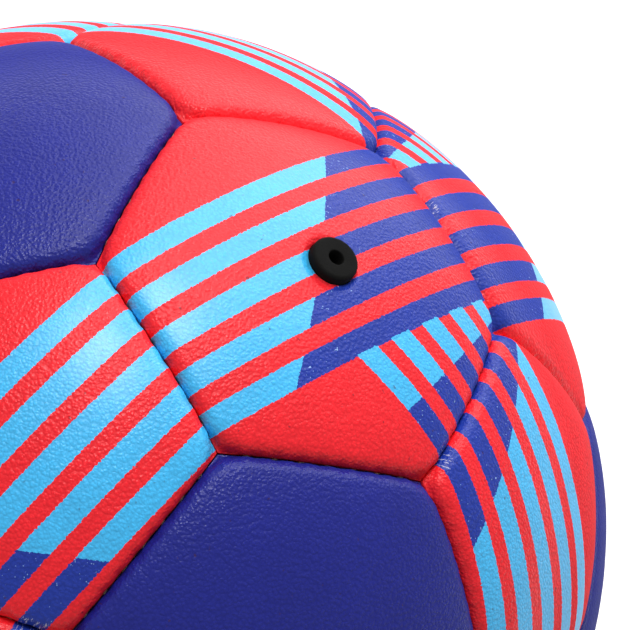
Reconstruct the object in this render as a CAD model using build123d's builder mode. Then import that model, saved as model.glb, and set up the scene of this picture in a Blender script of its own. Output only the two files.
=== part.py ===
from build123d import *
import os
from math import asin, atan, cos, degrees, pi, sin, sqrt, tan

# Hand-stitched handball of pentagons and hexagons, in millimetres.
# The origin is the centre of the ball, and +Z runs out through the valve.

# Ball
ball_circumference = 590.0  # men's match size, 580 to 600
panel_swell = 0.7  # a hexagon's seams sink this far below the ball's own curve
fit_gap = 0.1  # between layers that the air presses together

# Covers, cut flat, with their edges turned in and sewn from inside
cover_thickness = 1.8
edge_fold = 1.6  # inside radius of the turned edge
corner_ease = 0.4  # the pinched corners, where three panels meet, fold this much wider
seam_depth = 6.0  # from the crown of a panel to its raw edge

# Seam thread, waxed and flat, between the turned-in edges
thread_width = 1.2
thread_thickness = 0.2
thread_slack = 0.05  # on each side of the thread
thread_inset = 0.5  # from the raw edges
thread_end = 1.0  # each run stops short of the corner by this much

# Bladder
bladder_wall = 1.0

# Valve plug, pushed into the neck of the bladder
head_diameter = 8.2
head_stand = 1.6  # the head stands this far out of the panel
head_round = 1.1
plug_depth = 22.0  # from the crown of the panel to the tip
stem_diameter = 5.4
bulb_diameter = 6.2
bulb_length = 7.0
bulb_taper = 2.0  # above and below the bulb
tip_diameter = 3.6
needle_bore_diameter = 2.7
needle_mouth_round = 0.4
needle_depth = 15.0  # from the top of the head

# Neck of the bladder
seat_depth = 2.8  # from the crown of the panel to the rim of the neck
seat_gap = 0.1  # under the head
plug_fit = 0.05  # round the bulb
neck_wall = 1.4
neck_length = 16.0
flange_diameter = 26.0
flange_thickness = 1.2
panel_hole_gap = 0.15  # round the head, in the valve panel

# Cloth patch that stiffens the lining round the neck
patch_diameter = 30.0
patch_thickness = 0.9

# Sizes that follow
ball_radius = ball_circumference / (2 * pi)
raw_edge_radius = ball_radius - seam_depth
bladder_radius = raw_edge_radius - fit_gap
bladder_inner_radius = bladder_radius - bladder_wall
corner_fold = edge_fold + corner_ease
half_seam = thread_thickness / 2 + thread_slack
neck_bore_radius = bulb_diameter / 2 + plug_fit
neck_radius = neck_bore_radius + neck_wall
seat_height = ball_radius - seat_depth
head_top = ball_radius + head_stand

# Layout: all corners of the panels lie on one sphere, and all seams are alike.
# Twelve turns of a cube carry the layout onto itself, with one plain hexagon on each corner of it.
golden = (1 + sqrt(5)) / 2
seam_ratio = 4 / sqrt(58 + 18 * sqrt(5))  # length of a seam over the radius of that sphere
seam_half_angle = degrees(asin(seam_ratio / 2))
valve_centre = Vector(golden, 1 / golden, 0)
valve_neighbour = Vector(golden, 0, -1)
pentagon_centre = Vector(1, golden, 0)
ball_frame = Plane((0, 0, 0), x_dir=valve_neighbour, z_dir=valve_centre)
even_signs = ((1, 1, 1), (1, -1, -1), (-1, 1, -1), (-1, -1, 1))
cube_turns = [(shift, signs) for shift in range(3) for signs in even_signs]
cube_corners = [Vector(a, b, c) for a in (1, -1) for b in (1, -1) for c in (1, -1)]


def turned(point, shift, signs):
    """The point after one of the cube's turns."""
    values = (point.X, point.Y, point.Z)
    return Vector(*(signs[axis] * values[axis - shift] for axis in range(3)))


def panel_frame(centre, neighbour):
    """A panel's frame: +Z out through its centre, +X towards the middle of one seam."""
    x_dir = ball_frame.to_local_coords(neighbour)
    return Plane((0, 0, 0), x_dir=x_dir, z_dir=ball_frame.to_local_coords(centre))


striped_frames = [
    panel_frame(turned(valve_centre, *turn), turned(valve_neighbour, *turn)) for turn in cube_turns
]
pentagon_frames = [
    panel_frame(turned(pentagon_centre, *turn), turned(valve_centre, *turn)) for turn in cube_turns
]
indigo_frames = [
    panel_frame(corner, Vector(corner.X, corner.Y * golden, 0)) for corner in cube_corners
]
hexagon_frames = striped_frames + indigo_frames


def corner_slope(sides):
    """Angle from a panel's centre to its corners, seen from the ball's centre."""
    return asin(seam_ratio / (2 * sin(pi / sides)))


def seam_slope(sides):
    """Angle from a panel's centre to the middle of its seams, seen from the ball's centre."""
    return atan(tan(corner_slope(sides)) * cos(pi / sides))


# The air swells all panels alike, to a tighter curve than the ball's own
swell_reach = ball_radius * sin(seam_slope(6))
swell_radius = 1 / (1 / ball_radius + 2 * panel_swell / swell_reach**2)


def panel_solid(sides, inset, depth, corner, roll):
    """A swelled block between a panel's seam planes, drawn in by inset at the sides and depth on top."""
    slope = seam_slope(sides)
    below_raw_edge = raw_edge_radius * cos(corner_slope(sides)) - seam_depth
    with BuildPart() as block:
        for height in (below_raw_edge, ball_radius + seam_depth):
            with BuildSketch(Plane.XY.offset(height)):
                reach = height * tan(slope) - inset / cos(slope)
                RegularPolygon(reach, sides, major_radius=False, rotation=180 / sides)
        loft(ruled=True)
        fillet(block.edges().group_by(Axis.Z)[1], corner)
        with Locations((0, 0, ball_radius - swell_radius)):
            Sphere(swell_radius - depth, rotation=(90, 0, 0), mode=Mode.INTERSECT)
        fillet(block.faces().sort_by(Axis.Z)[-1].edges(), roll)
    return block.part


def panel_cover(sides):
    """One cover: a swelled top whose edges roll over and turn in to the seam."""
    inside = half_seam + cover_thickness
    hollow = panel_solid(sides, inside, cover_thickness, corner_fold, edge_fold)
    corner = corner_fold + cover_thickness
    roll = edge_fold + cover_thickness
    with BuildPart() as cover:
        add(panel_solid(sides, half_seam, 0, corner, roll))
        add(hollow, mode=Mode.SUBTRACT)
        Sphere(raw_edge_radius, rotation=(90, 0, 0), mode=Mode.SUBTRACT)
    return cover.part


def panel_lining(sides):
    """Foam and cloth that fill one cover down to its raw edges."""
    depth = cover_thickness + fit_gap
    with BuildPart() as lining:
        add(panel_solid(sides, half_seam + depth, depth, corner_fold - fit_gap, edge_fold - fit_gap))
        Sphere(raw_edge_radius, rotation=(90, 0, 0), mode=Mode.SUBTRACT)
    return lining.part


def dished_disc(outside_radius, thickness, diameter):
    """A disc on +Z that follows a sphere about the ball's centre."""
    with BuildPart() as disc:
        Cylinder(diameter / 2, outside_radius, align=(Align.CENTER, Align.CENTER, Align.MIN))
        Sphere(outside_radius, rotation=(90, 0, 0), mode=Mode.INTERSECT)
        Sphere(outside_radius - thickness, rotation=(90, 0, 0), mode=Mode.SUBTRACT)
    return disc.part


def seam_frames():
    """One frame for each seam: +X out through its middle, +Y along it."""
    frames = []
    slope = seam_slope(6)
    for frame in hexagon_frames:
        for turn in range(6):
            heading = Vector(1, 0, 0).rotate(Axis.Z, 60 * turn)
            middle = frame.from_local_coords(heading * sin(slope) + Vector(0, 0, cos(slope)))
            normal = frame.from_local_coords(heading * cos(slope) - Vector(0, 0, sin(slope)))
            if all((middle - other.x_dir).length > seam_ratio / 2 for other in frames):
                frames.append(Plane((0, 0, 0), x_dir=middle, z_dir=normal))
    return frames


def save(part, name):
    """Label a finished piece and write its file."""
    part.label = name
    export_step(part, f"parts/{name}.step")


os.makedirs("parts", exist_ok=True)
hexagon_cover = panel_cover(6)
pentagon_cover = panel_cover(5)
hexagon_lining = panel_lining(6)
pentagon_lining = panel_lining(5)

# Covers: the valve panel has a hole for the head of the plug
with BuildPart() as valve_panel:
    add(hexagon_cover)
    with Locations((0, 0, head_top)):
        Hole(head_diameter / 2 + panel_hole_gap)
save(valve_panel.part, "valve_panel")

for number, frame in enumerate(striped_frames[1:], 1):
    with BuildPart() as striped_hexagon:
        with Locations(frame):
            add(hexagon_cover)
    save(striped_hexagon.part, f"striped_hexagon_{number:02}")

for number, frame in enumerate(indigo_frames, 1):
    with BuildPart() as indigo_hexagon:
        with Locations(frame):
            add(hexagon_cover)
    save(indigo_hexagon.part, f"indigo_hexagon_{number}")

for number, frame in enumerate(pentagon_frames, 1):
    with BuildPart() as striped_pentagon:
        with Locations(frame):
            add(pentagon_cover)
    save(striped_pentagon.part, f"striped_pentagon_{number:02}")

# Linings
with BuildPart() as hexagon_linings:
    with Locations(*hexagon_frames[1:]):
        add(hexagon_lining)
save(hexagon_linings.part, "hexagon_linings")

with BuildPart() as pentagon_linings:
    with Locations(*pentagon_frames):
        add(pentagon_lining)
save(pentagon_linings.part, "pentagon_linings")

patch_outside = raw_edge_radius + patch_thickness
with BuildPart() as valve_patch:
    add(dished_disc(patch_outside, patch_thickness, patch_diameter))
    with Locations((0, 0, head_top)):
        Hole(neck_radius + fit_gap)
save(valve_patch.part, "valve_patch")

pocket_diameter = patch_diameter + 2 * fit_gap
pocket_depth = patch_thickness + 2 * fit_gap
with BuildPart() as valve_lining:
    add(hexagon_lining)
    add(dished_disc(patch_outside + fit_gap, pocket_depth, pocket_diameter), mode=Mode.SUBTRACT)
    with Locations((0, 0, head_top)):
        Hole(max(neck_radius + fit_gap, head_diameter / 2 + panel_hole_gap))
save(valve_lining.part, "valve_lining")

# Seam thread: one flat run along each seam
thread_low = raw_edge_radius + thread_inset
thread_high = thread_low + thread_width
run_half_angle = seam_half_angle - degrees(thread_end / thread_low)
with BuildPart() as seam_thread:
    with BuildSketch(*seam_frames()):
        with BuildLine():
            low = CenterArc((0, 0), thread_low, -run_half_angle, 2 * run_half_angle)
            high = CenterArc((0, 0), thread_high, -run_half_angle, 2 * run_half_angle)
            Line(low @ 0, high @ 0)
            Line(low @ 1, high @ 1)
        make_face()
    extrude(amount=thread_thickness / 2, both=True)
save(seam_thread.part, "seam_thread")

# Bladder and its neck, which is bonded in from inside
with BuildPart() as bladder:
    Sphere(bladder_radius)
    Sphere(bladder_inner_radius, mode=Mode.SUBTRACT)
    with Locations((0, 0, head_top)):
        Hole(neck_radius + fit_gap, depth=ball_radius)
save(bladder.part, "bladder")

with BuildPart() as valve_neck:
    add(dished_disc(bladder_inner_radius - fit_gap, flange_thickness, flange_diameter))
    with Locations((0, 0, seat_height)):
        Cylinder(neck_radius, neck_length, align=(Align.CENTER, Align.CENTER, Align.MAX))
        Hole(neck_bore_radius)
save(valve_neck.part, "valve_neck")

# Valve plug: rounded head, slim stem and a bulb that seals in the neck
tip_height = ball_radius - plug_depth
bulb_low = tip_height + bulb_taper
bulb_high = bulb_low + bulb_length
needle_end = head_top - needle_depth
with BuildPart() as valve_plug:
    with BuildSketch(Plane.XZ):
        with BuildLine():
            Polyline(
                (0, tip_height),
                (tip_diameter / 2, tip_height),
                (bulb_diameter / 2, bulb_low),
                (bulb_diameter / 2, bulb_high),
                (stem_diameter / 2, bulb_high + bulb_taper),
                (stem_diameter / 2, seat_height + seat_gap),
                (head_diameter / 2, seat_height + seat_gap),
                (head_diameter / 2, head_top),
                (needle_bore_diameter / 2, head_top),
                (needle_bore_diameter / 2, needle_end),
                (0, needle_end),
                close=True,
            )
        make_face()
    revolve(axis=Axis.Z)
    rims = valve_plug.edges().group_by(Axis.Z)[-1].sort_by(SortBy.RADIUS)
    fillet(rims[-1], head_round)
    fillet(rims[0], needle_mouth_round)
save(valve_plug.part, "valve_plug")
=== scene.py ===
import bpy
import math
from mathutils import Matrix, Quaternion, Vector


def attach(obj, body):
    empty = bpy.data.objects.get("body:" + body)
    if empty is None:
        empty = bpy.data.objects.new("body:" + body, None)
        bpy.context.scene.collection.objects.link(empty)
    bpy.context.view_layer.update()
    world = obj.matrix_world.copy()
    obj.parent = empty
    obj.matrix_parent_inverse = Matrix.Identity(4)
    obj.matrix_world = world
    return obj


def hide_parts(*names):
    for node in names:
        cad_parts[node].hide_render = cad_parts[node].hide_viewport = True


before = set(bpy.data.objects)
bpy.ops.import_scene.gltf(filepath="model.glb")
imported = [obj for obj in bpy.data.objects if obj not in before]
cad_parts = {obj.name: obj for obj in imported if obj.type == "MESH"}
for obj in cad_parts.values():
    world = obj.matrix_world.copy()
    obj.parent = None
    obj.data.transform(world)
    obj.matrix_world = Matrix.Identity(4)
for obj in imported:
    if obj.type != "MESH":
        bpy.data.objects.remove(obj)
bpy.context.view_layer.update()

MM = 0.001

# Sizes of the ball, as in the part's source, in millimetres
BALL_RADIUS = 590 / (2 * math.pi)
SWELL_RADIUS = 84.06
COVER_THICKNESS = 1.8
HALF_SEAM = 0.15
VALVE_HOLE_RADIUS = 4.25
GOLDEN = (1 + math.sqrt(5)) / 2
SEAM_RATIO = 4 / math.sqrt(58 + 18 * math.sqrt(5))

# How the air swells a panel, and how its edges roll over into the seams
FOLD_RADIUS = 2.1
SHOULDER_DROP = 0.9
SHOULDER_REACH = 3.4
CORNER_SOFTNESS = 5.5
STITCH_PITCH = 4.0
PUCKER = 0.12
UNEVENNESS = 0.22
UNEVEN_SIZE = 16.0
TURNED_IN_DEPTH = 1.3

# The step from panel to panel through the noise, so that no two of them are uneven alike
LUMP_STEP = 7.3


def linear(code):
    """An sRGB hex colour as linear red, green, blue and alpha."""
    parts = [int(code[i:i + 2], 16) / 255 for i in (1, 3, 5)]
    return [p / 12.92 if p <= 0.04045 else ((p + 0.055) / 1.055) ** 2.4 for p in parts] + [1.0]


def node(tree, kind, inputs=None, **settings):
    """Adds a node: settings are its properties, inputs are values or other nodes' outputs."""
    made = tree.nodes.new(kind)
    for name, value in settings.items():
        setattr(made, name, value)
    for key, value in (inputs or {}).items():
        if isinstance(value, bpy.types.Node):
            value = value.outputs[0]
        if isinstance(value, bpy.types.NodeSocket):
            tree.links.new(value, made.inputs[key])
        else:
            made.inputs[key].default_value = value
    return made


def placed(name, data):
    """A new object in the scene for a mesh, a light or a camera."""
    made = bpy.data.objects.new(name, data)
    bpy.context.scene.collection.objects.link(made)
    return made


def empty_material(name):
    """A new material without any nodes, and its tree."""
    material = bpy.data.materials.new(name)
    material.use_nodes = True
    material.node_tree.nodes.clear()
    return material, material.node_tree


def size_inputs(tree, names):
    """Adds an input for each size, and gives the identifiers by which a modifier sets them."""
    identifiers = {}
    for name in names:
        socket = tree.interface.new_socket(name, in_out="INPUT", socket_type="NodeSocketFloat")
        identifiers[name] = socket.identifier
    return identifiers


# Panel frames: twelve turns of a cube carry the print of the ball onto itself

EVEN_SIGNS = ((1, 1, 1), (1, -1, -1), (-1, 1, -1), (-1, -1, 1))
CUBE_TURNS = [(shift, signs) for shift in range(3) for signs in EVEN_SIGNS]
CUBE_CORNERS = [Vector((a, b, c)) for a in (1, -1) for b in (1, -1) for c in (1, -1)]
VALVE_CENTRE = Vector((GOLDEN, 1 / GOLDEN, 0))
VALVE_NEIGHBOUR = Vector((GOLDEN, 0, -1))
PENTAGON_CENTRE = Vector((1, GOLDEN, 0))


def axes(out, towards):
    """A turning matrix: Z runs out, X runs towards the other point."""
    z = out.normalized()
    x = (towards - z * towards.dot(z)).normalized()
    return Matrix((x, z.cross(x), z)).transposed()


def turned(point, shift, signs):
    """The point after one of the cube's turns."""
    return Vector([signs[axis] * point[axis - shift] for axis in range(3)])


BALL_AXES = axes(VALVE_CENTRE, VALVE_NEIGHBOUR).transposed()


def panel_axes(centre, neighbour):
    """A panel's frame in the ball: Z out through its middle, X towards the middle of one seam."""
    return axes(BALL_AXES @ centre, BALL_AXES @ neighbour)


striped_axes = [panel_axes(turned(VALVE_CENTRE, *t), turned(VALVE_NEIGHBOUR, *t)) for t in CUBE_TURNS]
pentagon_axes = [panel_axes(turned(PENTAGON_CENTRE, *t), turned(VALVE_CENTRE, *t)) for t in CUBE_TURNS]
indigo_axes = [panel_axes(c, Vector((c.x, c.y * GOLDEN, 0))) for c in CUBE_CORNERS]


def seam_slope(sides):
    """Angle from a panel's middle to the middle of its seams, seen from the ball's centre."""
    corner_slope = math.asin(SEAM_RATIO / (2 * math.sin(math.pi / sides)))
    return math.atan(math.tan(corner_slope) * math.cos(math.pi / sides))


# Panel blanks: flat polygons, cut so that their straight edges become the seams

SEGMENTS_PER_EDGE = 44
MIDDLE_ROWS = 16
ROLL_ROWS = 13
EDGE_BAND = 7.0


def blank(sides, hole):
    """A flat panel blank, seen from the ball's centre, with rows that crowd towards its edges."""
    reach = math.tan(seam_slope(sides)) - HALF_SEAM / BALL_RADIUS
    corners = []
    for k in range(sides + 1):
        angle = math.pi * (2 * k - 1) / sides
        size = reach / math.cos(math.pi / sides)
        corners.append(Vector((math.cos(angle) * size, math.sin(angle) * size, 0)))
    room = reach - hole
    roll = EDGE_BAND / BALL_RADIUS
    shares = [(1 - roll / room) * row / MIDDLE_ROWS for row in range(MIDDLE_ROWS)]
    for row in range(ROLL_ROWS + 1):
        shares.append(1 - roll / room * (1 - math.sin(math.pi / 2 * row / ROLL_ROWS)))
    points, rings = [], []
    for row, share in enumerate(shares):
        count = SEGMENTS_PER_EDGE
        if not hole:
            count = min(count, round(SEGMENTS_PER_EDGE * row / MIDDLE_ROWS))
        ring = []
        for k in range(sides):
            for step in range(count):
                edge = corners[k].lerp(corners[k + 1], step / count)
                ring.append(len(points))
                points.append((edge.normalized() * hole).lerp(edge, share))
        if not ring:
            ring.append(len(points))
            points.append(Vector((0, 0, 0)))
        rings.append(ring)
    faces = []
    for inner, outer in zip(rings, rings[1:]):
        faces += strip(inner, outer)
    mesh = bpy.data.meshes.new("panel_blank")
    mesh.from_pydata(points, [], faces)
    return mesh


def strip(inner, outer):
    """Triangles between two closed rows of points, which may differ in number."""
    faces = []
    a = b = 0
    many_a, many_b = len(inner) if len(inner) > 1 else 0, len(outer)
    while a < many_a or b < many_b:
        here, there = inner[a % len(inner)], outer[b % many_b]
        if b < many_b and (a >= many_a or (b + 1) * many_a <= (a + 1) * many_b):
            faces.append((here, there, outer[(b + 1) % many_b]))
            b += 1
        else:
            faces.append((here, there, inner[(a + 1) % len(inner)]))
            a += 1
    return faces


# Geometry Nodes that swell a blank into a panel and turn its edges in


def panel_tree():
    """Swells a blank onto the ball, rolls its edges over and draws them in at the stitches."""
    tree = bpy.data.node_groups.new("turned-edge panel", "GeometryNodeTree")
    face = tree.interface
    face.new_socket("Blank", in_out="INPUT", socket_type="NodeSocketGeometry")
    sizes = size_inputs(tree, (
        "Sides", "Seam slope", "Ball radius", "Swell radius", "Fold radius", "Shoulder drop",
        "Shoulder reach", "Corner softness", "Stitch pitch", "Pucker", "Turned-in depth",
        "Unevenness", "Uneven size", "Piece number",
    ))
    face.new_socket("Panel", in_out="OUTPUT", socket_type="NodeSocketGeometry")
    given = node(tree, "NodeGroupInput").outputs

    # Where a point of the blank lies: its slope from the middle, and its place along the nearest seam
    place = node(tree, "GeometryNodeInputPosition")
    apart = node(tree, "ShaderNodeSeparateXYZ", {0: place})
    reach = node(tree, "ShaderNodeVectorMath", {0: place}, operation="LENGTH").outputs["Value"]
    slant_square = node(tree, "ShaderNodeMath", {0: reach, 1: reach, 2: 1.0}, operation="MULTIPLY_ADD")
    slant = node(tree, "ShaderNodeMath", {0: slant_square}, operation="SQRT")
    bearing = node(
        tree, "ShaderNodeMath", {0: apart.outputs[1], 1: apart.outputs[0]}, operation="ARCTAN2")
    half_turn = node(tree, "ShaderNodeMath", {0: math.pi, 1: given["Sides"]}, operation="DIVIDE")
    folded = node(tree, "ShaderNodeMath", {0: bearing, 1: half_turn}, operation="PINGPONG")
    whole_turn = node(tree, "ShaderNodeMath", {0: half_turn, 1: 2.0}, operation="MULTIPLY")
    other = node(tree, "ShaderNodeMath", {0: whole_turn, 1: folded}, operation="SUBTRACT")
    middle = node(tree, "ShaderNodeMath", {0: given["Seam slope"]}, operation="TANGENT")
    upright = node(tree, "ShaderNodeMath", {0: given["Seam slope"]}, operation="COSINE")
    scale = node(tree, "ShaderNodeMath", {0: given["Ball radius"], 1: upright}, operation="MULTIPLY")
    scale = node(tree, "ShaderNodeMath", {0: scale, 1: slant}, operation="DIVIDE")
    distances = []
    for angle in (folded, other):
        cosine = node(tree, "ShaderNodeMath", {0: angle}, operation="COSINE")
        along = node(tree, "ShaderNodeMath", {0: reach, 1: cosine}, operation="MULTIPLY")
        short = node(tree, "ShaderNodeMath", {0: middle, 1: along}, operation="SUBTRACT")
        distances.append(node(tree, "ShaderNodeMath", {0: short, 1: scale}, operation="MULTIPLY"))
    from_seam = node(
        tree, "ShaderNodeMath", {0: distances[0], 1: distances[1], 2: given["Corner softness"]},
        operation="SMOOTH_MIN")
    sine = node(tree, "ShaderNodeMath", {0: folded}, operation="SINE")
    aside = node(tree, "ShaderNodeMath", {0: reach, 1: sine}, operation="MULTIPLY")
    aside = node(tree, "ShaderNodeMath", {0: aside, 1: given["Ball radius"]}, operation="MULTIPLY")

    # The stitches draw the rolled edge in
    turn = node(tree, "ShaderNodeMath", {0: aside, 1: given["Stitch pitch"]}, operation="DIVIDE")
    turn = node(tree, "ShaderNodeMath", {0: turn, 1: 2 * math.pi}, operation="MULTIPLY")
    wave = node(tree, "ShaderNodeMath", {0: turn}, operation="COSINE")
    fade = node(tree, "ShaderNodeMath", {0: from_seam, 1: given["Shoulder reach"]}, operation="DIVIDE")
    fade = node(tree, "ShaderNodeMath", {0: fade, 1: -1.0}, operation="MULTIPLY")
    fade = node(tree, "ShaderNodeMath", {0: fade}, operation="EXPONENT")
    pull = node(tree, "ShaderNodeMath", {0: wave, 1: fade}, operation="MULTIPLY")
    drawn = node(
        tree, "ShaderNodeMath", {0: pull, 1: given["Pucker"], 2: from_seam}, operation="MULTIPLY_ADD")

    # Hand-sewn panels are never quite even
    aim = node(tree, "ShaderNodeCombineXYZ", {0: apart.outputs[0], 1: apart.outputs[1], 2: 1.0})
    across = node(
        tree, "ShaderNodeMath", {0: given["Ball radius"], 1: given["Uneven size"]}, operation="DIVIDE")
    lumps = node(
        tree, "ShaderNodeTexNoise",
        {"Vector": place, "W": given["Piece number"], "Scale": across, "Detail": 2.0},
        noise_dimensions="4D")
    lump = node(tree, "ShaderNodeMath", {0: lumps, 1: 0.5}, operation="SUBTRACT")
    lump = node(tree, "ShaderNodeMath", {0: lump, 1: given["Unevenness"]}, operation="MULTIPLY")
    drawn = node(tree, "ShaderNodeMath", {0: lump, 1: 2.0, 2: drawn}, operation="MULTIPLY_ADD")
    drawn = node(tree, "ShaderNodeMath", {0: drawn, 1: 0.0}, operation="MAXIMUM")

    # Height of the swelled panel, less the roll of its edge
    share = node(tree, "ShaderNodeMath", {0: drawn, 1: given["Fold radius"]}, operation="DIVIDE")
    share = node(tree, "ShaderNodeMath", {0: 1.0, 1: share}, operation="SUBTRACT", use_clamp=True)
    share = node(tree, "ShaderNodeMath", {0: share, 1: share}, operation="MULTIPLY")
    share = node(tree, "ShaderNodeMath", {0: 1.0, 1: share}, operation="SUBTRACT")
    share = node(tree, "ShaderNodeMath", {0: share}, operation="SQRT")
    share = node(tree, "ShaderNodeMath", {0: share, 1: 1.0}, operation="SUBTRACT")
    roll = node(tree, "ShaderNodeMath", {0: share, 1: given["Fold radius"]}, operation="MULTIPLY")
    shoulder = node(tree, "ShaderNodeMath", {0: fade, 1: given["Shoulder drop"]}, operation="MULTIPLY")
    roll = node(tree, "ShaderNodeMath", {0: roll, 1: shoulder}, operation="SUBTRACT")
    swell = given["Swell radius"]
    offset = node(tree, "ShaderNodeMath", {0: given["Ball radius"], 1: swell}, operation="SUBTRACT")
    lift = node(tree, "ShaderNodeMath", {0: offset, 1: slant}, operation="DIVIDE")
    side = node(tree, "ShaderNodeMath", {0: lift, 1: reach}, operation="MULTIPLY")
    side = node(tree, "ShaderNodeMath", {0: side, 1: side}, operation="MULTIPLY")
    round_square = node(tree, "ShaderNodeMath", {0: swell, 1: swell}, operation="MULTIPLY")
    round_square = node(tree, "ShaderNodeMath", {0: round_square, 1: side}, operation="SUBTRACT")
    height = node(tree, "ShaderNodeMath", {0: round_square}, operation="SQRT")
    height = node(tree, "ShaderNodeMath", {0: height, 1: lift}, operation="ADD")
    height = node(tree, "ShaderNodeMath", {0: height, 1: roll}, operation="ADD")
    height = node(tree, "ShaderNodeMath", {0: height, 1: lump}, operation="ADD")
    aim = node(tree, "ShaderNodeVectorMath", {0: aim}, operation="NORMALIZE")
    landed = node(tree, "ShaderNodeVectorMath", {0: aim, "Scale": height}, operation="SCALE")

    # Two maps in millimetres: one of the whole panel for its print, one along and across its seams
    arc = node(tree, "ShaderNodeMath", {0: reach}, operation="ARCTANGENT")
    arc = node(tree, "ShaderNodeMath", {0: arc, 1: reach}, operation="DIVIDE")
    arc = node(tree, "ShaderNodeMath", {0: arc, 1: given["Ball radius"]}, operation="MULTIPLY")
    arc = node(tree, "ShaderNodeMath", {0: arc, 1: 1 / MM}, operation="MULTIPLY")
    spread = node(tree, "ShaderNodeVectorMath", {0: place, "Scale": arc}, operation="SCALE")
    run = node(tree, "ShaderNodeCombineXYZ", {0: aside, 1: from_seam})
    run = node(tree, "ShaderNodeVectorMath", {0: run, "Scale": 1 / MM}, operation="SCALE")
    shape = given["Blank"]
    for name, value in (("print", spread), ("seam", run)):
        shape = node(
            tree, "GeometryNodeStoreNamedAttribute", {"Geometry": shape, "Name": name, "Value": value},
            data_type="FLOAT2", domain="CORNER")
    shape = node(tree, "GeometryNodeSetPosition", {"Geometry": shape, "Position": landed})

    # The raw edges, and the rim of the valve hole, turn straight in
    beside = node(tree, "GeometryNodeInputMeshEdgeNeighbors")
    rim = node(tree, "FunctionNodeCompare", {2: beside, 3: 1}, data_type="INT", operation="EQUAL")
    inward = node(tree, "GeometryNodeInputPosition")
    inward = node(tree, "ShaderNodeVectorMath", {0: inward}, operation="NORMALIZE")
    inward = node(tree, "ShaderNodeVectorMath", {0: inward, "Scale": -1.0}, operation="SCALE")
    shape = node(
        tree, "GeometryNodeExtrudeMesh",
        {"Mesh": shape, "Selection": rim, "Offset": inward, "Offset Scale": given["Turned-in depth"]},
        mode="EDGES")
    shape = node(tree, "GeometryNodeSetShadeSmooth", {"Geometry": shape})
    node(tree, "NodeGroupOutput", {"Panel": shape})
    return tree, sizes


def plain_mesh(maker, name):
    """The evaluated shape of an object as a plain mesh; the object itself is removed."""
    bpy.context.view_layer.update()
    graph = bpy.context.evaluated_depsgraph_get()
    mesh = bpy.data.meshes.new_from_object(maker.evaluated_get(graph), depsgraph=graph)
    bpy.data.objects.remove(maker)
    mesh.name = name
    return mesh


def panel(name, sides, hole, number, turning, tree, sizes, leather):
    """One cover panel of the ball: swelled, rolled over, turned in and given its leather's thickness."""
    maker = placed(name + "_maker", blank(sides, hole))
    turned_edge = maker.modifiers.new("turned edge", "NODES")
    turned_edge.node_group = tree
    values = {
        "Sides": float(sides), "Seam slope": seam_slope(sides), "Ball radius": BALL_RADIUS * MM,
        "Swell radius": SWELL_RADIUS * MM, "Fold radius": FOLD_RADIUS * MM,
        "Shoulder drop": SHOULDER_DROP * MM, "Shoulder reach": SHOULDER_REACH * MM,
        "Corner softness": CORNER_SOFTNESS * MM, "Stitch pitch": STITCH_PITCH * MM,
        "Pucker": PUCKER * MM, "Turned-in depth": TURNED_IN_DEPTH * MM,
        "Unevenness": UNEVENNESS * MM, "Uneven size": UNEVEN_SIZE * MM,
        "Piece number": number * LUMP_STEP,
    }
    for label, value in values.items():
        turned_edge[sizes[label]] = value
    thick = maker.modifiers.new("leather", "SOLIDIFY")
    thick.thickness = COVER_THICKNESS * MM
    thick.offset = -1
    mesh = plain_mesh(maker, name)
    mesh.transform(turning.to_4x4())
    mesh.materials.clear()
    mesh.materials.append(leather)
    cover = placed(name + "_leather", mesh)
    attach(cover, "ball")
    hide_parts(name)
    return cover


# Leather: polyurethane-coated leathercloth, embossed with a fine grain and screen printed

RED = linear("#fb2631")
LIGHT_BLUE = linear("#3ebefa")
INDIGO = linear("#2039a2")
PLAIN_INDIGO = linear("#1b2388")
PINHOLE = linear("#8fb0e6")
SPECK = linear("#3a1a2a")
SCUFF = linear("#e6e3ec")

# Sizes of the grain, the print and the wear, in millimetres
PEBBLE_WIDTH = 0.57
PEBBLE_WARP = 0.55
WARP_WIDTH = 0.95
WRINKLE_WIDTH = 0.34
GRAIN_DEPTH = 0.085
INK_EDGE_WIDTH = 0.4
INK_EDGE_WAVER = 0.55
PINHOLE_WIDTH = 0.45
PINHOLE_REACH = 12.0
DYE_CLOUD_WIDTH = 9
SPECK_WIDTH = 1.1
WORN_PATCH_WIDTH = 22
SCUFF_FROM, SCUFF_TO = 1.4, 4.5
CREASE_FROM, CREASE_TO = 0.5, 8.0
CREASE_DEPTH = 0.5

# How often scuffs and creases vary in a millimetre: along the seam, across it, and from patch to patch
SCUFF_RATE = (2.4, 0.5, 1.0)
CREASE_RATE = (0.75, 0.13, 0.5)
PATCH_SHIFT = 60.0

# Roughness between the pebbles, on top of them, and at the flattest angles
CREASE_ROUGHNESS = 0.40
PEBBLE_ROUGHNESS = 0.22
FLAT_ANGLE_ROUGHNESS = 0.75
INK_FILM = 0.6
STRIPE_COUNT = 5


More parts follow.
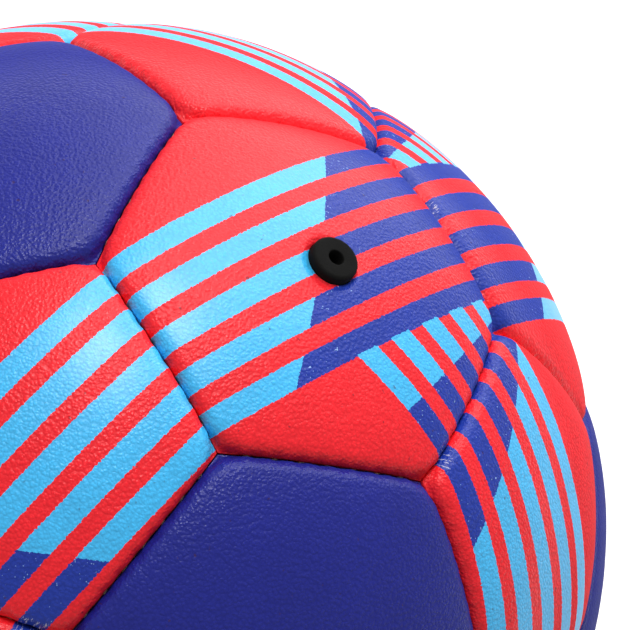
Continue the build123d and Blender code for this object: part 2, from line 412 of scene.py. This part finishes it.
def stripe_tree():
    """Five printed stripes of one width, light on one side of a straight cut and indigo on the other."""
    tree = bpy.data.node_groups.new("stripe set", "ShaderNodeTree")
    face = tree.interface
    for name, kind in (
        ("Place", "Vector"), ("Across", "Vector"), ("Middle", "Float"), ("Pitch", "Float"),
        ("Width", "Float"), ("Cut across", "Vector"), ("Cut at", "Float"),
    ):
        face.new_socket(name, in_out="INPUT", socket_type="NodeSocket" + kind)
    for name in ("Stripe", "Light side", "Height", "From cut"):
        face.new_socket(name, in_out="OUTPUT", socket_type="NodeSocketFloat")
    given = node(tree, "NodeGroupInput").outputs
    height = node(
        tree, "ShaderNodeVectorMath", {0: given["Place"], 1: given["Across"]}, operation="DOT_PRODUCT")
    height = height.outputs["Value"]
    off = node(tree, "ShaderNodeMath", {0: height, 1: given["Middle"]}, operation="SUBTRACT")
    half_pitch = node(tree, "ShaderNodeMath", {0: given["Pitch"], 1: 0.5}, operation="MULTIPLY")
    nearest = node(tree, "ShaderNodeMath", {0: off, 1: half_pitch}, operation="PINGPONG")
    half_width = node(tree, "ShaderNodeMath", {0: given["Width"], 1: 0.5}, operation="MULTIPLY")
    inside = node(tree, "ShaderNodeMath", {0: nearest, 1: half_width}, operation="LESS_THAN")
    far = node(tree, "ShaderNodeMath", {0: off}, operation="ABSOLUTE")
    last = node(tree, "ShaderNodeMath", {0: given["Pitch"], 1: STRIPE_COUNT / 2}, operation="MULTIPLY")
    among = node(tree, "ShaderNodeMath", {0: far, 1: last}, operation="LESS_THAN")
    stripe = node(tree, "ShaderNodeMath", {0: inside, 1: among}, operation="MULTIPLY")
    cut = node(
        tree, "ShaderNodeVectorMath", {0: given["Place"], 1: given["Cut across"]},
        operation="DOT_PRODUCT").outputs["Value"]
    past = node(tree, "ShaderNodeMath", {0: given["Cut at"], 1: cut}, operation="SUBTRACT")
    light = node(tree, "ShaderNodeMath", {0: past, 1: 0.0}, operation="LESS_THAN")
    node(tree, "NodeGroupOutput", {
        "Stripe": stripe, "Light side": light, "Height": height, "From cut": past})
    return tree


STRIPES = stripe_tree()
HEXAGON_MAIN = {
    "Across": (0.848, 0.530, 0), "Middle": 1.55, "Pitch": 7.55, "Width": 4.15,
    "Cut across": (0.2317, 0.9728, 0), "Cut at": 2.04,
}
HEXAGON_SECOND = {
    "Across": (-0.799, 0.602, 0), "Middle": -5.95, "Pitch": 7.34, "Width": 4.15,
    "Cut across": (0.703, 0.711, 0), "Cut at": -25.94,
}
HEXAGON_SECOND_BELOW = -15.3
PENTAGON_MAIN = {
    "Across": (-0.2419, 0.9703, 0), "Middle": -7.7, "Pitch": 7.35, "Width": 4.2,
    "Cut across": (0.6455, 0.7638, 0), "Cut at": -17.35,
}


def leather(name, ground, sets):
    """Printed leathercloth: soft gloss, a fine pebbled grain, and creases where it rolls into a seam."""
    material, tree = empty_material(name)
    place = node(tree, "ShaderNodeUVMap", uv_map="print")
    seam = node(tree, "ShaderNodeUVMap", uv_map="seam")
    metres = node(tree, "ShaderNodeTexCoord").outputs["Object"]

    # Embossed grain: soft pebbles, creases between them and fine wrinkles on them
    warp = node(
        tree, "ShaderNodeTexNoise",
        {"Vector": metres, "Scale": 1 / (WARP_WIDTH * MM), "Detail": 2.0}).outputs["Color"]
    warp = node(tree, "ShaderNodeVectorMath", {0: warp, "Scale": PEBBLE_WARP * MM}, operation="SCALE")
    bent = node(tree, "ShaderNodeVectorMath", {0: metres, 1: warp}, operation="ADD")
    pebbles = node(
        tree, "ShaderNodeTexVoronoi",
        {"Vector": bent, "Scale": 1 / (PEBBLE_WIDTH * MM), "Smoothness": 0.35},
        feature="SMOOTH_F1").outputs["Distance"]
    wrinkles = node(
        tree, "ShaderNodeTexNoise",
        {"Vector": metres, "Scale": 1 / (WRINKLE_WIDTH * MM), "Detail": 2.0, "Roughness": 0.5})
    grain = node(tree, "ShaderNodeMath", {0: pebbles, 1: -1.6, 2: 1.0}, operation="MULTIPLY_ADD")
    grain = node(tree, "ShaderNodeMath", {0: wrinkles, 1: 0.5, 2: grain}, operation="MULTIPLY_ADD")

    # The screen print is ragged where the grain takes the ink
    waver = node(
        tree, "ShaderNodeTexNoise",
        {"Vector": metres, "Scale": 1 / (INK_EDGE_WIDTH * MM), "Detail": 1.0}).outputs["Color"]
    waver = node(tree, "ShaderNodeVectorMath", {0: waver, 1: (0.5, 0.5, 0.5)}, operation="SUBTRACT")
    waver = node(tree, "ShaderNodeVectorMath", {0: waver, "Scale": INK_EDGE_WAVER}, operation="SCALE")
    printed = node(tree, "ShaderNodeVectorMath", {0: place, 1: waver}, operation="ADD")
    pits = node(
        tree, "ShaderNodeTexNoise",
        {"Vector": metres, "Scale": 1 / (PINHOLE_WIDTH * MM), "Detail": 1.0})
    colour = ground
    main_height = None
    indigo_ink = 0.0
    pale_ink = 0.0
    for values in sets:
        group = node(tree, "ShaderNodeGroup", {"Place": printed, **values}, node_tree=STRIPES)
        stripe = group.outputs["Stripe"]
        if main_height is None:
            main_height = group.outputs["Height"]
        else:
            below = node(
                tree, "ShaderNodeMath", {0: main_height, 1: HEXAGON_SECOND_BELOW}, operation="LESS_THAN")
            stripe = node(tree, "ShaderNodeMath", {0: stripe, 1: below}, operation="MULTIPLY")
        # Pinholes in the indigo ink, most of them beside the cut
        edge = node(
            tree, "ShaderNodeMapRange",
            {0: group.outputs["From cut"], 1: 0.0, 2: PINHOLE_REACH, 3: 0.70, 4: 0.80})
        holes = node(tree, "ShaderNodeMath", {0: pits, 1: edge}, operation="GREATER_THAN")
        dark = node(
            tree, "ShaderNodeMix", {0: holes, 6: INDIGO, 7: PINHOLE}, data_type="RGBA").outputs[2]
        light = group.outputs["Light side"]
        here = node(tree, "ShaderNodeMath", {0: stripe, 1: light}, operation="GREATER_THAN")
        indigo_ink = node(tree, "ShaderNodeMath", {0: indigo_ink, 1: here}, operation="MAXIMUM")
        here = node(tree, "ShaderNodeMath", {0: stripe, 1: light}, operation="MULTIPLY")
        pale_ink = node(tree, "ShaderNodeMath", {0: pale_ink, 1: here}, operation="MAXIMUM")
        pair = node(
            tree, "ShaderNodeMix", {0: light, 6: dark, 7: LIGHT_BLUE}, data_type="RGBA").outputs[2]
        colour = node(
            tree, "ShaderNodeMix", {0: stripe, 6: colour, 7: pair}, data_type="RGBA").outputs[2]

    # Uneven dye over a few millimetres, painted shade in the grain's creases with slightly lighter pebble
    # tops, and a few dark specks
    cloud = node(
        tree, "ShaderNodeTexNoise",
        {"Vector": metres, "Scale": 1 / (DYE_CLOUD_WIDTH * MM), "Detail": 3.0})
    cloud = node(tree, "ShaderNodeMapRange", {0: cloud, 1: 0.3, 2: 0.7, 3: 0.95, 4: 1.05}).outputs[0]
    # Painted shade: the colour darkens in the grain's creases and lightens a little on the pebble tops
    depth = node(tree, "ShaderNodeMapRange", {0: grain, 1: 0.2, 2: 1.0, 3: 0.88, 4: 1.05}).outputs[0]
    value = node(tree, "ShaderNodeMath", {0: cloud, 1: depth}, operation="MULTIPLY")
    tone = node(tree, "ShaderNodeHueSaturation", {"Value": value, "Color": colour})
    speck = node(
        tree, "ShaderNodeTexNoise",
        {"Vector": metres, "Scale": 1 / (SPECK_WIDTH * MM), "Detail": 1.0})
    speck = node(tree, "ShaderNodeMapRange", {0: speck, 1: 0.75, 2: 0.80, 3: 0.0, 4: 0.6}).outputs[0]
    colour = node(
        tree, "ShaderNodeMix", {0: speck, 6: tone, 7: SPECK}, data_type="RGBA").outputs[2]

    # Pale scuffs in the indigo ink of the rolled edge, and creases that run across it into the seam
    parts = node(tree, "ShaderNodeSeparateXYZ", {0: seam})
    along, from_seam = parts.outputs[0], parts.outputs[1]
    drift = node(
        tree, "ShaderNodeTexNoise",
        {"Vector": metres, "Scale": 1 / (WORN_PATCH_WIDTH * MM), "Detail": 1.0})
    shift = node(tree, "ShaderNodeMath", {0: drift, 1: PATCH_SHIFT}, operation="MULTIPLY")
    run = node(tree, "ShaderNodeCombineXYZ", {0: along, 1: from_seam, 2: shift})
    strokes = node(tree, "ShaderNodeVectorMath", {0: run, 1: SCUFF_RATE}, operation="MULTIPLY")
    strokes = node(
        tree, "ShaderNodeTexNoise",
        {"Vector": strokes, "Scale": 1.0, "Detail": 2.0, "Roughness": 0.7})
    edge = node(
        tree, "ShaderNodeMapRange",
        {0: from_seam, 1: SCUFF_FROM, 2: SCUFF_TO, 3: 0.60, 4: 0.88}).outputs[0]
    worn = node(tree, "ShaderNodeMapRange", {0: drift, 1: 0.46, 2: 0.60, 3: 0.16, 4: 0.0}).outputs[0]
    edge = node(tree, "ShaderNodeMath", {0: edge, 1: worn}, operation="ADD")
    scuffs = node(tree, "ShaderNodeMath", {0: strokes, 1: edge}, operation="SUBTRACT")
    scuffs = node(tree, "ShaderNodeMapRange", {0: scuffs, 1: 0.0, 2: 0.05, 3: 0.0, 4: 0.55}).outputs[0]
    scuffs = node(tree, "ShaderNodeMath", {0: scuffs, 1: indigo_ink}, operation="MULTIPLY")
    colour = node(
        tree, "ShaderNodeMix", {0: scuffs, 6: colour, 7: SCUFF}, data_type="RGBA").outputs[2]
    stretched = node(tree, "ShaderNodeVectorMath", {0: run, 1: CREASE_RATE}, operation="MULTIPLY")
    creases = node(tree, "ShaderNodeTexNoise", {"Vector": stretched, "Scale": 1.0, "Detail": 3.0})
    near = node(
        tree, "ShaderNodeMapRange",
        {0: from_seam, 1: CREASE_FROM, 2: CREASE_TO, 3: 1.0, 4: 0.0}).outputs[0]
    creases = node(tree, "ShaderNodeMath", {0: creases, 1: near}, operation="MULTIPLY")
    bump = node(tree, "ShaderNodeBump", {"Height": grain, "Strength": 0.9, "Distance": GRAIN_DEPTH * MM})
    bump = node(
        tree, "ShaderNodeBump",
        {"Height": creases, "Strength": 0.28, "Distance": CREASE_DEPTH * MM, "Normal": bump})

    # The pebbles shine more than the creases; at a flat angle they hide each other's shine
    gloss = node(
        tree, "ShaderNodeMapRange",
        {0: grain, 1: 0.2, 2: 1.0, 3: CREASE_ROUGHNESS, 4: PEBBLE_ROUGHNESS}).outputs[0]
    flat = node(tree, "ShaderNodeLayerWeight", {"Blend": 0.5}).outputs["Facing"]
    flat = node(
        tree, "ShaderNodeMapRange",
        {0: flat, 1: 0.35, 2: 0.70, 3: 0.0, 4: FLAT_ANGLE_ROUGHNESS}).outputs[0]
    gloss = node(tree, "ShaderNodeMath", {0: gloss, 1: flat}, operation="MAXIMUM")

    # The light-blue ink dries to a smooth film
    film = 0.0
    if sets:
        film = node(tree, "ShaderNodeMath", {0: pale_ink, 1: INK_FILM}, operation="MULTIPLY")
    shader = node(
        tree, "ShaderNodeBsdfPrincipled",
        {"Base Color": colour, "Roughness": gloss, "Normal": bump, "IOR": 1.48, "Specular IOR Level": 0.25,
         "Coat Weight": film, "Coat Roughness": 0.3})
    node(tree, "ShaderNodeOutputMaterial", {"Surface": shader})
    return material


striped_hexagon_leather = leather(
    "red leathercloth, hexagon print", RED, [HEXAGON_MAIN, HEXAGON_SECOND])
striped_pentagon_leather = leather("red leathercloth, pentagon print", RED, [PENTAGON_MAIN])
indigo_leather = leather("indigo leathercloth", PLAIN_INDIGO, [])


# The 32 panels: striped hexagons, the first with the valve's hole, striped pentagons, indigo hexagons

# Numbers of the first pentagon and of the first indigo hexagon, less one
PENTAGON_NUMBERS = 20
INDIGO_NUMBERS = 40

panel_nodes, panel_sizes = panel_tree()
valve_hole = math.tan(VALVE_HOLE_RADIUS / BALL_RADIUS)
for index, turning in enumerate(striped_axes):
    name = f"striped_hexagon_{index:02}" if index else "valve_panel"
    hole = 0 if index else valve_hole
    panel(
        name, 6, hole, index + 1, turning, panel_nodes, panel_sizes, striped_hexagon_leather)
for index, turning in enumerate(pentagon_axes, 1):
    panel(
        f"striped_pentagon_{index:02}", 5, 0, index + PENTAGON_NUMBERS, turning,
        panel_nodes, panel_sizes, striped_pentagon_leather)
for index, turning in enumerate(indigo_axes, 1):
    cover = panel(
        f"indigo_hexagon_{index}", 6, 0, index + INDIGO_NUMBERS, turning,
        panel_nodes, panel_sizes, indigo_leather)


# Seam thread: waxed polyester, laid in short slanting stitches at the bottom of the seams

STITCH_RADIUS = BALL_RADIUS - 3.95
STITCH_LENGTH = 1.5
THREAD_DIAMETER = 0.42
CORNER_CLEARANCE = 4.5
STITCH_SLANT = math.radians(14)
STITCH_LOOSENESS = math.radians(7)
STEPS_EACH_WAY = 8
GRIME_WIDTH = 4
TWIST_WIDTH = 0.3
TWIST_DEPTH = 0.1


def thread_material():
    """Waxed thread: off-white, dull, with the twist of its strands."""
    material, tree = empty_material("waxed polyester thread")
    metres = node(tree, "ShaderNodeTexCoord").outputs["Object"]
    grime = node(
        tree, "ShaderNodeTexNoise", {"Vector": metres, "Scale": 1 / (GRIME_WIDTH * MM), "Detail": 2.0})
    colour = node(
        tree, "ShaderNodeMix", {0: grime, 6: linear("#b9a689"), 7: linear("#d8cbb2")}, data_type="RGBA")
    twist = node(
        tree, "ShaderNodeTexNoise", {"Vector": metres, "Scale": 1 / (TWIST_WIDTH * MM), "Detail": 2.0})
    bump = node(
        tree, "ShaderNodeBump", {"Height": twist, "Strength": 0.5, "Distance": TWIST_DEPTH * MM})
    shader = node(
        tree, "ShaderNodeBsdfPrincipled",
        {"Base Color": colour.outputs[2], "Roughness": 0.6, "Normal": bump, "Sheen Weight": 0.2})
    node(tree, "ShaderNodeOutputMaterial", {"Surface": shader})
    return material


def seam_lines():
    """The seams between the panels, as chains of points a little above the raw edges."""
    middles, lines = [], []
    slope = seam_slope(6)
    half = math.asin(SEAM_RATIO / 2) - CORNER_CLEARANCE / STITCH_RADIUS
    for turning in striped_axes + indigo_axes:
        for side in range(6):
            heading = Vector((math.cos(side * math.pi / 3), math.sin(side * math.pi / 3), 0))
            middle = turning @ (heading * math.sin(slope) + Vector((0, 0, math.cos(slope))))
            along = turning @ Vector((-heading.y, heading.x, 0))
            if any((middle - other).length < SEAM_RATIO / 2 for other in middles):
                continue
            middles.append(middle)
            line = []
            for step in range(2 * STEPS_EACH_WAY + 1):
                angle = half * (step / STEPS_EACH_WAY - 1)
                point = middle * math.cos(angle) + along * math.sin(angle)
                line.append(point * STITCH_RADIUS * MM)
            lines.append(line)
    return lines


def stitch_tree(thread):
    """Lays short slanting stitches along lines on the ball."""
    tree = bpy.data.node_groups.new("seam stitches", "GeometryNodeTree")
    face = tree.interface
    face.new_socket("Seams", in_out="INPUT", socket_type="NodeSocketGeometry")
    sizes = size_inputs(tree, ("Pitch", "Length", "Thickness", "Slant", "Looseness"))
    face.new_socket("Stitches", in_out="OUTPUT", socket_type="NodeSocketGeometry")
    given = node(tree, "NodeGroupInput").outputs
    line = node(tree, "GeometryNodeMeshToCurve", {0: given["Seams"]})
    line = node(
        tree, "GeometryNodeResampleCurve", {"Curve": line, "Length": given["Pitch"]}, mode="LENGTH")
    out = node(tree, "GeometryNodeInputPosition")
    out = node(tree, "ShaderNodeVectorMath", {0: out}, operation="NORMALIZE")
    facing = node(tree, "FunctionNodeAlignRotationToVector", {"Vector": out}, axis="Z")
    facing = node(
        tree, "FunctionNodeAlignRotationToVector",
        {"Rotation": facing, "Vector": node(tree, "GeometryNodeInputTangent")}, axis="X", pivot_axis="Z")
    loose = node(tree, "ShaderNodeMath", {0: given["Looseness"], 1: -1.0}, operation="MULTIPLY")
    sway = node(
        tree, "FunctionNodeRandomValue", {2: loose, 3: given["Looseness"], "Seed": 5}, data_type="FLOAT")
    slant = node(tree, "ShaderNodeMath", {0: given["Slant"], 1: sway.outputs[1]}, operation="ADD")
    swing = node(tree, "FunctionNodeAxisAngleToRotation", {"Axis": (0, 0, 1), "Angle": slant})
    facing = node(
        tree, "FunctionNodeRotateRotation", {"Rotation": facing, "Rotate By": swing},
        rotation_space="LOCAL")
    bead = node(tree, "GeometryNodeMeshUVSphere", {"Segments": 8, "Rings": 5, "Radius": 0.5})
    size = node(
        tree, "ShaderNodeCombineXYZ", {0: given["Length"], 1: given["Thickness"], 2: given["Thickness"]})
    stitches = node(
        tree, "GeometryNodeInstanceOnPoints",
        {"Points": line, "Instance": bead, "Rotation": facing, "Scale": size})
    stitches = node(tree, "GeometryNodeRealizeInstances", {0: stitches})
    stitches = node(tree, "GeometryNodeSetShadeSmooth", {"Geometry": stitches})
    stitches = node(tree, "GeometryNodeSetMaterial", {"Geometry": stitches, "Material": thread})
    node(tree, "NodeGroupOutput", {0: stitches})
    return tree, sizes


def seam_stitches():
    """All the stitches of the ball as one piece."""
    thread = thread_material()
    points, edges = [], []
    for line in seam_lines():
        edges += [(len(points) + i, len(points) + i + 1) for i in range(len(line) - 1)]
        points += line
    seams = bpy.data.meshes.new("seam_lines")
    seams.from_pydata(points, edges, [])
    maker = placed("stitch_maker", seams)
    stitching = maker.modifiers.new("stitches", "NODES")
    stitching.node_group, sizes = stitch_tree(thread)
    values = {
        "Pitch": STITCH_PITCH * MM, "Length": STITCH_LENGTH * MM, "Thickness": THREAD_DIAMETER * MM,
        "Slant": STITCH_SLANT, "Looseness": STITCH_LOOSENESS,
    }
    for label, value in values.items():
        stitching[sizes[label]] = value
    stitches = placed("seam_stitches", plain_mesh(maker, "seam_stitches"))
    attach(stitches, "ball")
    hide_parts("seam_thread")


seam_stitches()


# Rubber, latex and cloth of the inner pieces

SKIN_DEPTH = 0.08
GLOSS_SPREAD = 0.06


def moulded(name, low, high, rough, fine, coarse, strength):
    """A moulded or dipped rubber: two close tones, and a surface texture of two sizes."""
    material, tree = empty_material(name)
    metres = node(tree, "ShaderNodeTexCoord").outputs["Object"]
    cloud = node(
        tree, "ShaderNodeTexNoise", {"Vector": metres, "Scale": 1 / (coarse * MM), "Detail": 3.0})
    colour = node(tree, "ShaderNodeMix", {0: cloud, 6: linear(low), 7: linear(high)}, data_type="RGBA")
    skin = node(tree, "ShaderNodeTexNoise", {"Vector": metres, "Scale": 1 / (fine * MM), "Detail": 3.0})
    bump = node(
        tree, "ShaderNodeBump", {"Height": skin, "Strength": strength, "Distance": SKIN_DEPTH * MM})
    gloss = node(
        tree, "ShaderNodeMapRange",
        {0: cloud, 1: 0.3, 2: 0.7, 3: rough - GLOSS_SPREAD, 4: rough + GLOSS_SPREAD})
    shader = node(
        tree, "ShaderNodeBsdfPrincipled",
        {"Base Color": colour.outputs[2], "Roughness": gloss, "Normal": bump, "IOR": 1.52,
         "Specular IOR Level": 0.08})
    node(tree, "ShaderNodeOutputMaterial", {"Surface": shader})
    return material


def woven(name, low, high, thread):
    """A plain weave, with its threads this many millimetres apart."""
    material, tree = empty_material(name)
    metres = node(tree, "ShaderNodeTexCoord").outputs["Object"]
    bands = []
    for direction in ("X", "Y"):
        bands.append(node(
            tree, "ShaderNodeTexWave", {"Vector": metres, "Scale": math.pi / (10 * thread * MM)},
            bands_direction=direction).outputs[1])
    weave = node(tree, "ShaderNodeMath", {0: bands[0], 1: bands[1]}, operation="MAXIMUM")
    colour = node(tree, "ShaderNodeMix", {0: weave, 6: linear(low), 7: linear(high)}, data_type="RGBA")
    bump = node(tree, "ShaderNodeBump", {"Height": weave, "Strength": 0.6, "Distance": 0.15 * MM})
    shader = node(
        tree, "ShaderNodeBsdfPrincipled",
        {"Base Color": colour.outputs[2], "Roughness": 0.85, "Normal": bump, "Sheen Weight": 0.3})
    node(tree, "ShaderNodeOutputMaterial", {"Surface": shader})
    return material


butyl = moulded("moulded black butyl rubber", "#080808", "#131312", 0.78, 0.35, 3.0, 0.6)
latex = moulded("dipped natural latex", "#b98d5a", "#d2ab7a", 0.45, 0.8, 14.0, 0.25)
lining_cloth = woven("foam-backed lining cloth", "#b9b4a8", "#e2ded4", 0.9)
patch_cloth = woven("cotton patch cloth", "#a9a294", "#d4cdbf", 1.4)
for node_name, material in (
    ("valve_neck", butyl), ("bladder", latex), ("valve_patch", patch_cloth),
    ("hexagon_linings", lining_cloth), ("pentagon_linings", lining_cloth),
    ("valve_lining", lining_cloth),
):
    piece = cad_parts[node_name]
    piece.data.materials.clear()
    piece.data.materials.append(material)


# Valve plug: turned from its profile, with the flat head and the crisp edges of the moulded rubber

HEAD_RADIUS = 4.1
HEAD_TOP = BALL_RADIUS + 1.6
HEAD_EDGE = 0.7
HEAD_UNDERSIDE = BALL_RADIUS - 2.7
STEM_RADIUS = 2.7
BULB_RADIUS = 3.1
BULB_LOW = BALL_RADIUS - 20.0
BULB_HIGH = BALL_RADIUS - 13.0
BULB_TAPER = 2.0
TIP_RADIUS = 1.8
BORE_RADIUS = 1.35
BORE_END = HEAD_TOP - 15.0
BORE_EDGE = 0.2
PLUG_SIDES = 96
EDGE_STEPS = 8
SHARP_ANGLE = math.radians(30)


def rounded(radius, height, size, start):
    """A quarter round in the plug's profile, anticlockwise from the start angle, about its centre."""
    turns = [math.radians(start + 90 * step / EDGE_STEPS) for step in range(EDGE_STEPS + 1)]
    return [(radius + size * math.cos(turn), height + size * math.sin(turn)) for turn in turns]


def valve_plug():
    """The push-in rubber plug, from its tip over the head and down the needle's bore."""
    profile = [
        (TIP_RADIUS, BULB_LOW - BULB_TAPER), (BULB_RADIUS, BULB_LOW), (BULB_RADIUS, BULB_HIGH),
        (STEM_RADIUS, BULB_HIGH + BULB_TAPER), (STEM_RADIUS, HEAD_UNDERSIDE),
        (HEAD_RADIUS, HEAD_UNDERSIDE),
    ]
    profile += rounded(HEAD_RADIUS - HEAD_EDGE, HEAD_TOP - HEAD_EDGE, HEAD_EDGE, 0)
    profile += rounded(BORE_RADIUS + BORE_EDGE, HEAD_TOP - BORE_EDGE, BORE_EDGE, 90)
    profile.append((BORE_RADIUS, BORE_END))
    points, faces = [], []
    for radius, height in profile:
        for side in range(PLUG_SIDES):
            turn = math.tau * side / PLUG_SIDES
            points.append(Vector((radius * math.cos(turn), radius * math.sin(turn), height)) * MM)
    for ring in range(len(profile) - 1):
        for side in range(PLUG_SIDES):
            here = ring * PLUG_SIDES + side
            after = ring * PLUG_SIDES + (side + 1) % PLUG_SIDES
            faces.append((here, after, after + PLUG_SIDES, here + PLUG_SIDES))
    faces.append(list(range(PLUG_SIDES))[::-1])
    faces.append(list(range(len(points) - PLUG_SIDES, len(points))))
    mesh = bpy.data.meshes.new("valve_plug_rubber")
    mesh.from_pydata(points, [], faces)
    mesh.shade_smooth()
    mesh.set_sharp_from_angle(angle=SHARP_ANGLE)
    mesh.materials.append(butyl)
    plug = placed("valve_plug_rubber", mesh)
    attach(plug, "plug")
    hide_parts("valve_plug")


valve_plug()


# Stage: a pale floor under the ball, soft light and a white background

CAMERA_AT = Vector((-218.9, 183.1, 393.5)) * MM
CAMERA_AIM = Vector((28.6, -29.3, 37.3)) * MM
CAMERA_ROLL = math.radians(41.84)
CAMERA_LENS = 147.06
CAMERA_SENSOR = 36
CAMERA_NEAR = 0.01
FLOOR_REACH = 1.4
FLOOR_FADES_FROM = 0.45
FLOOR_GLOW = 0.35
SKY_LIGHT = 0.30
WHITE = (1, 1, 1, 1)


def background_rays(tree):
    """1 for the rays that show the white background: to the camera, off gloss and through glass."""
    rays = node(tree, "ShaderNodeLightPath").outputs
    seen = node(
        tree, "ShaderNodeMath", {0: rays["Is Camera Ray"], 1: rays["Is Glossy Ray"]}, operation="MAXIMUM")
    return node(tree, "ShaderNodeMath", {0: seen, 1: rays["Is Transmission Ray"]}, operation="MAXIMUM")


def floor():
    """A pale studio floor that takes the ball's shadow and fades into the white background."""
    material, tree = empty_material("matt white floor")
    strength = node(
        tree, "ShaderNodeMath", {0: background_rays(tree), 1: FLOOR_GLOW}, operation="MULTIPLY")
    glow = node(tree, "ShaderNodeEmission", {"Color": WHITE, "Strength": strength})
    matt = node(tree, "ShaderNodeBsdfDiffuse", {"Color": linear("#f2f2f2")})
    both = node(tree, "ShaderNodeAddShader", {0: matt, 1: glow})
    spot = node(tree, "ShaderNodeTexCoord").outputs["Object"]
    away = node(tree, "ShaderNodeVectorMath", {0: spot}, operation="LENGTH").outputs["Value"]
    fade = node(
        tree, "ShaderNodeMapRange", {0: away, 1: FLOOR_FADES_FROM, 2: FLOOR_REACH, 3: 0.0, 4: 1.0},
        interpolation_type="SMOOTHSTEP").outputs[0]
    clear = node(tree, "ShaderNodeBsdfTransparent")
    blended = node(tree, "ShaderNodeMixShader", {0: fade, 1: both, 2: clear})
    node(tree, "ShaderNodeOutputMaterial", {"Surface": blended})
    mesh = bpy.data.meshes.new("floor")
    low = -BALL_RADIUS * MM
    reach = FLOOR_REACH
    corners = [(-reach, -reach, low), (reach, -reach, low), (reach, reach, low), (-reach, reach, low)]
    mesh.from_pydata(corners, [], [(0, 1, 2, 3)])
    mesh.materials.append(material)
    ground = placed("floor", mesh)


def softbox(name, at, size, watts):
    """A square soft light that points at the ball."""
    lamp = bpy.data.lights.new(name, "AREA")
    lamp.shape = "SQUARE"
    lamp.size = size
    lamp.energy = watts
    holder = placed(name, lamp)
    holder.location = at
    holder.rotation_mode = "QUATERNION"
    holder.rotation_quaternion = (-Vector(at)).to_track_quat("-Z", "Y")


def studio_background():
    """White to the camera and in reflections, and a weaker even light on the ball."""
    world = bpy.data.worlds.new("studio")
    world.use_nodes = True
    tree = world.node_tree
    tree.nodes.clear()
    bright = node(
        tree, "ShaderNodeMath", {0: background_rays(tree), 1: 1 - SKY_LIGHT, 2: SKY_LIGHT},
        operation="MULTIPLY_ADD")
    sky = node(tree, "ShaderNodeBackground", {"Color": WHITE, "Strength": bright})
    node(tree, "ShaderNodeOutputWorld", {"Surface": sky})
    bpy.context.scene.world = world


def camera():
    """The camera where the photo was taken, turned about its own axis."""
    lens = bpy.data.cameras.new("camera")
    lens.lens = CAMERA_LENS
    lens.sensor_width = CAMERA_SENSOR
    lens.clip_start = CAMERA_NEAR
    holder = placed("camera", lens)
    holder.location = CAMERA_AT
    holder.rotation_mode = "QUATERNION"
    level = (CAMERA_AIM - CAMERA_AT).to_track_quat("-Z", "Y")
    holder.rotation_quaternion = level @ Quaternion((0, 0, 1), CAMERA_ROLL)
    bpy.context.scene.camera = holder


floor()
softbox("key light", at=(0.78, -0.20, 0.95), size=1.2, watts=12)
softbox("top light", at=(0.25, 0.37, 1.12), size=0.32, watts=7)
softbox("rim light", at=(1.0, -0.6, 0.26), size=1.0, watts=2.5)
studio_background()
camera()
bpy.context.scene.view_settings.view_transform = "Standard"
